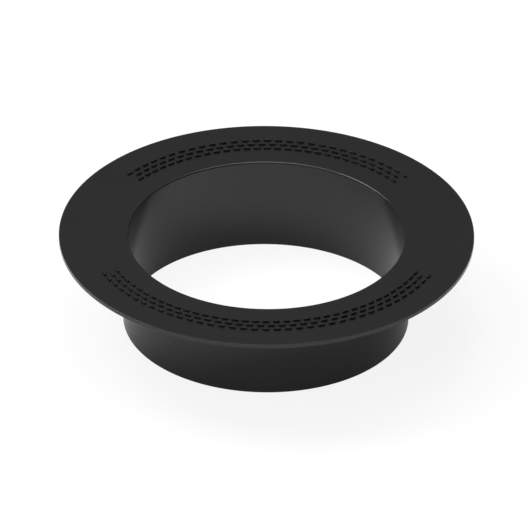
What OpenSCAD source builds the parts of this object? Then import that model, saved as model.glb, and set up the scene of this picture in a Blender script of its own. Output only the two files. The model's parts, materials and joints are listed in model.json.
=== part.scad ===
// Puddle flange: a flat round flange with a short thin-walled tube below it, moulded in one piece.
// The tube slips over a drain pipe where it comes up through a floor, and the flange carries the
// edge of the floor's waterproof membrane.
// Millimetres, +Z up. The tube's free end stands on z = 0 and the flange's top face is the highest
// plane, with the bore's axis on Z.

/* [Flange] */
// Outer diameter of the flange
flange_d = 166; // [150:1:240]
// Thickness of the flange
flange_t = 1.6; // [1.2:0.1:5]
// Radius of the rounds on the two edges of the flange's rim, which are nearly sharp
rim_r = 0.1; // [0.05:0.05:2]

/* [Tube] */
// Bore of the tube: the drain pipe's outside diameter and the clearance around it
bore_d = 110.6; // [60:0.1:125]
// Wall of the tube
wall_t = 1.7; // [1.2:0.1:4]
// Length of the tube below the flange's underside
tube_l = 37; // [15:0.1:90]
// Radius where the flange's top face turns down into the bore
entry_r = 0.6; // [0.2:0.1:2]
// Radius of the fillet between the tube's outside and the flange's underside
root_r = 1; // [0.2:0.1:4]
// Radius of the rounds on the two edges of the tube's free end
end_r = 0.3; // [0.1:0.05:1.5]

/* [Hidden] */

// Facets of a full circle
$fn = 180;
// The most of a wall's thickness that one round takes, so that two of them leave a flat between
round_share = 0.48;
// How far a cutting shape runs past the face it cuts, and an added one into the wall it joins
overlap = 0.2;

bore_r = bore_d / 2;
tube_r = bore_r + wall_t;
flange_r = flange_d / 2;
height = tube_l + flange_t;
rim_round = min(rim_r, round_share * flange_t);
end_round = min(end_r, round_share * wall_t);

// What lies between the corner at [0, 0] and an arc of radius r in the quarter x > 0, y > 0.
// Taken away it rounds an outer corner, and added it fills an inner one.
module corner(r) {
    difference() {
        translate([-overlap, -overlap]) square(r + overlap);
        translate([r, r]) circle(r);
    }
}

// The corner shape moved to a point, and turned so that its arc faces along dir, which is
// [1 or -1, 1 or -1] for right or left and up or down
module corner_at(point, dir, r) {
    translate(point) mirror([dir[0] < 0 ? 1 : 0, 0]) mirror([0, dir[1] < 0 ? 1 : 0]) corner(r);
}

// Flange's half section: x is the distance from the axis
module flange_section() {
    difference() {
        translate([bore_r, tube_l]) square([flange_r - bore_r, flange_t]);
        corner_at([flange_r, height], [-1, -1], rim_round);
        corner_at([flange_r, tube_l], [-1, 1], rim_round);
    }
}

// Tube's half section, up to the flange's top face
module tube_section() {
    difference() {
        translate([bore_r, 0]) square([wall_t, height]);
        corner_at([bore_r, 0], [1, 1], end_round);
        corner_at([tube_r, 0], [-1, 1], end_round);
    }
}

// The whole half section: flange, tube, the fillet between them and the round into the bore
module section() {
    difference() {
        union() {
            flange_section();
            tube_section();
            corner_at([tube_r, tube_l], [1, -1], root_r);
        }
        corner_at([bore_r, height], [1, -1], entry_r);
    }
}

module puddle_flange() {
    color([0.18, 0.18, 0.185]) rotate_extrude() section();
}

puddle_flange();
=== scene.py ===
import json
import math

import bpy
import numpy as np
from mathutils import Matrix, Vector


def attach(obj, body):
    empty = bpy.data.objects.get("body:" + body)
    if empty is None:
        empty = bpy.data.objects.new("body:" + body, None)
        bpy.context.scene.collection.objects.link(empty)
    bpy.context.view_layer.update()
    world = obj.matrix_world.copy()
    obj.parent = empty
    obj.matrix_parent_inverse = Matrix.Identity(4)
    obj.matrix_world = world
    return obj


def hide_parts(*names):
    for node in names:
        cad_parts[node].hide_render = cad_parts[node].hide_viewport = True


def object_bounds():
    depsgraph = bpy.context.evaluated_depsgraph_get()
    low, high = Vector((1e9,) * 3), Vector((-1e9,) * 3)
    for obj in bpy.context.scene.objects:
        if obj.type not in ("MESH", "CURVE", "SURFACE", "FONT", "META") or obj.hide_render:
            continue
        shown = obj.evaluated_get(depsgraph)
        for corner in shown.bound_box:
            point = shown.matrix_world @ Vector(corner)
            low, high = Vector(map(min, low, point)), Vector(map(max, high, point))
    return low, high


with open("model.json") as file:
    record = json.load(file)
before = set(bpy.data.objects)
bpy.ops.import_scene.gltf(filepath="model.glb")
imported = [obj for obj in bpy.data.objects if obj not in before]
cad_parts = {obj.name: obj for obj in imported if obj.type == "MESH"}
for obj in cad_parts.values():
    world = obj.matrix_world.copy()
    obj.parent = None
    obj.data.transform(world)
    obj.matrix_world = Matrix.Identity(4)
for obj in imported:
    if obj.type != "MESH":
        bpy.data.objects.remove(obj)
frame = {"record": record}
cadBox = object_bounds()
mm = 0.001

# sizes that the looks need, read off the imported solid
mounts = {m["name"]: m for m in frame["record"]["mounts"]}
boreRadius = mounts["pipe_bore"]["dims"]["r_mm"] * mm
tubeRadius = mounts["tube_outside"]["dims"]["r_mm"] * mm
underHeight = mounts["flange_underside"]["pos_m"][2]
flangeRadius = cadBox[1].x
topHeight = cadBox[1].z
print("frame: flange radius", round(flangeRadius, 4), "bore radius", round(boreRadius, 4),
      "height", round(topHeight, 4))


# camera: the photograph's view, measured in its own 528 x 528 frame

photo = {
    "side": 528,
    "pixelsPerMetre": 2502.8,
    "topCentre": (266.0, 234.9),  # pixel of the centre of the flange's top face
    "elevation": math.radians(31.84),
    "roll": 0.0078,  # the photograph leans by half a degree
    "distance": 1.0,
    "clip": (0.01, 10.0),
}


def makeCamera(view):
    e, roll = view["elevation"], view["roll"]
    right, up = Vector((1, 0, 0)), Vector((0, math.sin(e), math.cos(e)))
    back = Vector((0, -math.cos(e), math.sin(e)))
    camRight = math.cos(roll) * right + math.sin(roll) * up
    camUp = math.cos(roll) * up - math.sin(roll) * right
    middle = (view["side"] - 1) / 2
    across = (view["topCentre"][0] - middle) / view["pixelsPerMetre"]
    above = (middle - view["topCentre"][1]) / view["pixelsPerMetre"]
    aim = Vector((0, 0, topHeight)) - across * camRight - above * camUp
    data = bpy.data.cameras.new("camera")
    data.type = "ORTHO"  # the photograph shows no perspective
    data.ortho_scale = view["side"] / view["pixelsPerMetre"]
    data.clip_start, data.clip_end = view["clip"]
    camera = bpy.data.objects.new("camera", data)
    camera.matrix_world = Matrix((camRight, camUp, back)).transposed().to_4x4()
    camera.location = aim + back * view["distance"]
    bpy.context.scene.collection.objects.link(camera)
    bpy.context.scene.camera = camera


makeCamera(photo)
bpy.context.scene.view_settings.view_transform = "Standard"
print("camera done")


# node helpers

# a node with its settings; values are its inputs by name or number, either plain or a socket to link
def newNode(tree, kind, values=None, **settings):
    node = tree.nodes.new("ShaderNode" + kind)
    for key, value in settings.items():
        setattr(node, key, value)
    for key, value in (values or {}).items():
        if isinstance(value, bpy.types.NodeSocket):
            tree.links.new(value, node.inputs[key])
        else:
            node.inputs[key].default_value = value
    return node


def calc(tree, operation, *values):
    return newNode(tree, "Math", dict(enumerate(values)), operation=operation).outputs[0]


# a group whose inputs are a Position and the named values, and whose outputs are values too
def newGroup(name, inputs, outputs):
    group = bpy.data.node_groups.new(name, "ShaderNodeTree")
    group.interface.new_socket("Position", in_out="INPUT", socket_type="NodeSocketVector")
    for label in inputs:
        group.interface.new_socket(label, in_out="INPUT", socket_type="NodeSocketFloat")
    for label in outputs:
        group.interface.new_socket(label, in_out="OUTPUT", socket_type="NodeSocketFloat")
    return group, group.nodes.new("NodeGroupInput").outputs, group.nodes.new("NodeGroupOutput").inputs


# detail is how many finer layers the noise has
skin = {
    "Grain": {"size": "Grain size", "detail": 2.0},
    "Patches": {"size": "Patch size", "detail": 3.0},
}


# moulded skin: a fine grain, and wide faint patches where the melt cooled unevenly
def makeSkinGroup(look):
    group, take, give = newGroup("mouldedSkin", [part["size"] for part in look.values()], look)
    for out, part in look.items():
        perMetre = calc(group, "DIVIDE", 1.0, take[part["size"]])
        noise = newNode(group, "TexNoise", {"Vector": take["Position"], "Scale": perMetre,
                                            "Detail": part["detail"]})
        group.links.new(noise.outputs["Fac"], give[out])
    return group


# rubbed edge with a painted highlight: 1 on a level circle round the axis, and fading to 0 at reach from it
def makeEdgeGroup():
    group, take, give = newGroup("rubbedEdge", ("Radius", "Height", "Reach"), ("Mask",))
    split = newNode(group, "SeparateXYZ", {0: take["Position"]}).outputs

    def length(a, b):
        return calc(group, "SQRT", calc(group, "MULTIPLY_ADD", a, a, calc(group, "MULTIPLY", b, b)))

    out = calc(group, "SUBTRACT", length(split["X"], split["Y"]), take["Radius"])
    up = calc(group, "SUBTRACT", split["Z"], take["Height"])
    mask = newNode(group, "MapRange", {"Value": length(out, up), "From Min": 0.0, "From Max": take["Reach"],
                                       "To Min": 1.0, "To Max": 0.0}, interpolation_type="SMOOTHSTEP")
    group.links.new(mask.outputs[0], give["Mask"])
    return group


skinGroup = makeSkinGroup(skin)
edgeGroup = makeEdgeGroup()
print("node groups done")


# material

blackPlastic = {
    "colour": (0.0175, 0.0175, 0.018, 1),
    "paleColour": (0.03, 0.03, 0.031, 1),
    "roughness": 0.2,
    "specular": 0.45,
    "grainSize": 0.35 * mm,
    "grainHeight": 0.02 * mm,
    "patchSize": 24 * mm,
    "patchTint": 0.16,  # how far a patch goes to the pale colour
    "patchRoughness": 0.05,
    "edgeReach": 1.1 * mm,
    # how far an edge goes to the pale colour: partly rubbed wear, partly a painted highlight along the rims
    # and the bore's mouth
    "edgeTint": 0.5,
    "edgeGloss": 0.04,
    "edges": (
        (flangeRadius, topHeight),
        (flangeRadius, underHeight),
        (boreRadius, topHeight),
        (tubeRadius, 0.0),
        (boreRadius, 0.0),
    ),
}


def makePlastic(name, look):
    material = bpy.data.materials.new(name)
    material.use_nodes = True
    tree = material.node_tree
    shader = tree.nodes["Principled BSDF"]
    place = newNode(tree, "TexCoord").outputs["Object"]
    surface = newNode(tree, "Group", node_tree=skinGroup)
    surface.inputs["Grain size"].default_value = look["grainSize"]
    surface.inputs["Patch size"].default_value = look["patchSize"]
    tree.links.new(place, surface.inputs["Position"])
    # mask of the edges, where the colour goes lighter: partly rubbed wear, partly a painted highlight
    wearAndHighlight = 0.0
    for radius, height in look["edges"]:
        edge = newNode(tree, "Group", node_tree=edgeGroup)
        for key, value in (("Radius", radius), ("Height", height), ("Reach", look["edgeReach"])):
            edge.inputs[key].default_value = value
        tree.links.new(place, edge.inputs["Position"])
        wearAndHighlight = calc(tree, "MAXIMUM", wearAndHighlight, edge.outputs["Mask"])
    patches = surface.outputs["Patches"]
    tint = calc(tree, "MULTIPLY_ADD", wearAndHighlight, look["edgeTint"],
                calc(tree, "MULTIPLY", patches, look["patchTint"]))
    roughness = calc(tree, "MULTIPLY_ADD", patches, look["patchRoughness"],
                     look["roughness"] - look["patchRoughness"] / 2)
    roughness = calc(tree, "MULTIPLY_ADD", wearAndHighlight, -look["edgeGloss"], roughness)
    ramp = newNode(tree, "ValToRGB", {"Fac": tint})
    for stop, colour in zip(ramp.color_ramp.elements, (look["colour"], look["paleColour"])):
        stop.color = colour
    tree.links.new(ramp.outputs["Color"], shader.inputs["Base Color"])
    tree.links.new(roughness, shader.inputs["Roughness"])
    shader.inputs["Specular IOR Level"].default_value = look["specular"]
    bump = newNode(tree, "Bump", {"Height": surface.outputs["Grain"], "Distance": look["grainHeight"]})
    tree.links.new(bump.outputs[0], shader.inputs["Normal"])
    return material


plastic = makePlastic("blackPlastic", blackPlastic)
print("material done")


# the moulding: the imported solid's own section, turned in fine even steps so that its gloss runs clean

moulding = {
    "rimRound": 0.1 * mm,
    "mouthRound": 0.6 * mm,
    "rootRound": 1.0 * mm,
    "endRound": 0.3 * mm,
    "turns": 360,
    "arcSteps": 10,
    "ringStep": 4 * mm,
}


# A stretch of the section is its points and their outward normals, both as (distance from axis, height).

# points spaced evenly from start up to, but not including, end
def straight(start, end, normal, step):
    start, end = np.array(start), np.array(end)
    count = max(1, math.ceil(np.linalg.norm(end - start) / step))
    share = np.arange(count)[:, None] / count
    return start + (end - start) * share, np.tile(normal, (count, 1)).astype(float)


# points at centre + radius (cos a, sin a) for a from first up to last, and normals side (cos a, sin a)
def arc(centre, radius, first, last, steps, side=1):
    a = np.radians(first + (last - first) * np.arange(steps) / steps)
    ray = np.stack([np.cos(a), np.sin(a)], axis=1)
    return np.array(centre) + radius * ray, side * ray


# the closed section, from the tube's end out and up its outside, round the rim and down the bore
def mouldingSection(look, bore, tube, rim, under, top):
    tip, mouth, root, edge = (look[k] for k in ("endRound", "mouthRound", "rootRound", "rimRound"))
    steps, step = look["arcSteps"], look["ringStep"]
    stretches = [
        straight((bore + tip, 0), (tube - tip, 0), (0, -1), step),
        arc((tube - tip, tip), tip, -90, 0, steps),
        straight((tube, tip), (tube, under - root), (1, 0), step),
        arc((tube + root, under - root), root, 180, 90, steps, -1),
        straight((tube + root, under), (rim - edge, under), (0, -1), step),
        arc((rim - edge, under + edge), edge, -90, 0, steps),
        straight((rim, under + edge), (rim, top - edge), (1, 0), step),
        arc((rim - edge, top - edge), edge, 0, 90, steps),
        straight((rim - edge, top), (bore + mouth, top), (0, 1), step),
        arc((bore + mouth, top - mouth), mouth, 90, 180, steps),
        straight((bore, top - mouth), (bore, tip), (-1, 0), step),
        arc((bore + tip, tip), tip, 180, 270, steps),
    ]
    return tuple(np.concatenate(part) for part in zip(*stretches))


# Section point (r, z) at turn t lies at (r cos t, r sin t, z), and its normal turns with it.
def makeMoulding(look):
    points, normals = mouldingSection(look, boreRadius, tubeRadius, flangeRadius, underHeight, topHeight)
    t = np.arange(look["turns"]) * 2 * np.pi / look["turns"]

    def turned(section):
        r, z = section[:, :1], section[:, 1:]
        return np.stack([r * np.cos(t), r * np.sin(t), z + 0 * t], axis=-1).reshape(-1, 3)

    index = np.arange(len(points) * len(t)).reshape(len(points), len(t))
    above, across = np.roll(index, -1, 0), np.roll(index, -1, 1)
    quads = np.stack([index, across, np.roll(across, -1, 0), above], axis=-1).reshape(-1, 4)
    mesh = bpy.data.meshes.new("flange_moulding")
    mesh.from_pydata(turned(points), [], quads.tolist())
    mesh.shade_smooth()
    mesh.normals_split_custom_set_from_vertices(turned(normals))
    piece = bpy.data.objects.new("flange_moulding", mesh)
    bpy.context.scene.collection.objects.link(piece)
    return piece


mouldingPiece = makeMoulding(moulding)
mouldingPiece.data.materials.append(plastic)
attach(mouldingPiece, "root")
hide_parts("puddle_flange")
print("moulding done:", len(mouldingPiece.data.polygons), "faces")


# raised ribs on the flange's top face, in two arcs: short bars along the arc in three staggered rows

ribs = {
    "arcs": ((40, 140), (205, 335)),  # degrees that each arc runs between
    "rows": (65.7 * mm, 68.6 * mm, 71.5 * mm),  # radius of each row
    "pitch": 3.6,  # degrees between the ribs of a row
    "length": 2.9 * mm,
    "width": 1.0 * mm,
    "height": 0.85 * mm,
    "sink": 0.15 * mm,
    "shoulder": 0.06 * mm,
    "shoulderSteps": 2,
    "around": 12,
}


# the angle and the radius of every rib, with each second row set on by half a pitch
def ribPlaces(look):
    places = []
    for first, last in look["arcs"]:
        for row, radius in enumerate(look["rows"]):
            shift = look["pitch"] / 2 * (row % 2)
            count = 1 + round((last - first - 2 * shift) / look["pitch"])
            angles = np.radians(np.linspace(first + shift, last - shift, count))
            places.append(np.stack([angles, np.full(count, radius)]))
    return np.concatenate(places, axis=1)[:, :, None, None]


# One rib is a stadium in plan: at turn u round it a point lies half its width times (cos u, sin u) from
# the middle, moved on along the rib by half the straight part, to the side that u points to. Half width
# and height follow a profile of angle b: up the wall from below the face, then a quarter round over the
# shoulder. A normal is (cos b cos u, cos b sin u, sin b), and each rib turns to its own angle.
def makeRibs(look, base):
    angle, radius = ribPlaces(look)
    b = np.concatenate([[0.0], np.linspace(0, np.pi / 2, look["shoulderSteps"] + 1)])[:, None]
    half = look["width"] / 2 - look["shoulder"] * (1 - np.cos(b))
    rise = look["height"] - look["shoulder"] * (1 - np.sin(b))
    rise[0] = -look["sink"]
    u = -2 * np.pi * (np.arange(look["around"]) + 0.5) / look["around"]
    along = half * np.cos(u) + (look["length"] - look["width"]) / 2 * np.sign(np.cos(u))

    # arrays run over ribs, rings of the profile and points round each ring
    def turned(out, on, up):
        x = out * np.cos(angle) - on * np.sin(angle)
        y = out * np.sin(angle) + on * np.cos(angle)
        return np.stack(np.broadcast_arrays(x, y, up), axis=-1).reshape(-1, 3)

    points = turned(radius + half * np.sin(u), along, base + rise)
    normals = turned(np.cos(b) * np.sin(u), np.cos(b) * np.cos(u), np.sin(b))
    index = np.arange(len(points)).reshape(-1, len(b), len(u))
    low, high = index[:, :-1], index[:, 1:]
    quads = np.stack([low, np.roll(low, -1, 2), np.roll(high, -1, 2), high], axis=-1).reshape(-1, 4)
    tops, bottoms = index[:, -1], index[:, 0, ::-1]
    mesh = bpy.data.meshes.new("raised_ribs")
    mesh.from_pydata(points, [], quads.tolist() + tops.tolist() + bottoms.tolist())
    mesh.shade_smooth()
    facing = normals[np.concatenate([quads.ravel(), tops.ravel(), bottoms.ravel()])]
    facing[-bottoms.size:] = (0, 0, -1)  # the hidden bottoms face straight down
    mesh.normals_split_custom_set(facing)
    piece = bpy.data.objects.new("raised_ribs", mesh)
    bpy.context.scene.collection.objects.link(piece)
    return piece


ribsPiece = makeRibs(ribs, topHeight)
ribsPiece.data.materials.append(plastic)
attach(ribsPiece, "root")
print("ribs done:", len(ribsPiece.data.polygons), "faces")


# stage: a white floor that goes on in the world's lower half, and a dim room above, which the camera
# sees white

stage = {
    "floorSize": 3.0,
    "floorColour": 0.78,
    "mirroredGlow": 0.25,  # what a reflection adds to the floor's own light
    "seenColour": 0.15,  # what the camera sees of the floor's own light and shadow
    "seenGlow": 0.88,
    "worldLevel": 0.115,
    "horizon": (-0.01, 0.01),  # a direction's height where the white ends, and where the room starts
}


def makeFloor(look):
    half = look["floorSize"] / 2
    mesh = bpy.data.meshes.new("floor")
    corners = [(-half, -half, 0), (half, -half, 0), (half, half, 0), (-half, half, 0)]
    mesh.from_pydata(corners, [], [(0, 1, 2, 3)])
    floor = bpy.data.objects.new("floor", mesh)
    bpy.context.scene.collection.objects.link(floor)
    material = bpy.data.materials.new("floorWhite")
    material.use_nodes = True
    tree = material.node_tree
    tree.nodes.remove(tree.nodes["Principled BSDF"])
    path = newNode(tree, "LightPath").outputs
    mirrored = calc(tree, "MAXIMUM", path["Is Glossy Ray"], path["Is Transmission Ray"])
    colour = calc(tree, "MULTIPLY_ADD", path["Is Camera Ray"], look["seenColour"] - look["floorColour"],
                  look["floorColour"])
    glow = calc(tree, "MULTIPLY_ADD", path["Is Camera Ray"], look["seenGlow"],
                calc(tree, "MULTIPLY", mirrored, look["mirroredGlow"]))
    diffuse = newNode(tree, "BsdfDiffuse", {"Color": colour})
    emission = newNode(tree, "Emission", {"Strength": glow})
    both = newNode(tree, "AddShader", {0: diffuse.outputs[0], 1: emission.outputs[0]})
    tree.links.new(both.outputs[0], tree.nodes["Material Output"].inputs["Surface"])
    mesh.materials.append(material)


def makeWorld(look):
    world = bpy.data.worlds.new("studio")
    bpy.context.scene.world = world
    world.use_nodes = True
    tree = world.node_tree
    direction = newNode(tree, "TexCoord").outputs["Generated"]
    height = newNode(tree, "SeparateXYZ", {0: direction}).outputs["Z"]
    low, high = look["horizon"]
    fade = newNode(tree, "MapRange", {"Value": height, "From Min": low, "From Max": high,
                                      "To Min": 1.0, "To Max": look["worldLevel"]}).outputs[0]
    seen = newNode(tree, "LightPath").outputs["Is Camera Ray"]
    tree.links.new(calc(tree, "MAXIMUM", fade, seen), tree.nodes["Background"].inputs["Strength"])
    tree.nodes["Background"].inputs["Color"].default_value = (1, 1, 1, 1)


makeFloor(stage)
makeWorld(stage)

# soft square lamps round the object: turn is 0 in front and 90 on the left, and level is how bright a lamp
# alone makes a white floor; with the world's level they come to a little over 1
lamps = {
    "left": {"turn": 115, "elevation": 51, "distance": 1.5, "side": 0.65, "level": 0.415},
    "back": {"turn": 180, "elevation": 65, "distance": 1.5, "side": 0.7, "level": 0.285},
    "frontLeft": {"turn": 45, "elevation": 45, "distance": 1.5, "side": 0.7, "level": 0.07},
    "front": {"turn": 0, "elevation": 50, "distance": 1.5, "side": 0.7, "level": 0.06},
    "overhead": {"turn": 0, "elevation": 90, "distance": 1.6, "side": 0.5, "level": 0.125},
}


def makeLamp(name, look):
    turn, up = math.radians(look["turn"]), math.radians(look["elevation"])
    toLamp = Vector((-math.sin(turn) * math.cos(up), -math.cos(turn) * math.cos(up), math.sin(up)))
    data = bpy.data.lights.new(name, "AREA")
    data.shape = "SQUARE"
    data.size = look["side"]
    # a far lamp of power p makes a white floor p sin(elevation) / (pi distance)^2 bright
    data.energy = look["level"] * (math.pi * look["distance"]) ** 2 / math.sin(up)
    lamp = bpy.data.objects.new(name, data)
    lamp.location = toLamp * look["distance"]
    lamp.rotation_euler = toLamp.to_track_quat("Z", "Y").to_euler()
    bpy.context.scene.collection.objects.link(lamp)


for name, look in lamps.items():
    makeLamp(name, look)
print("stage done")
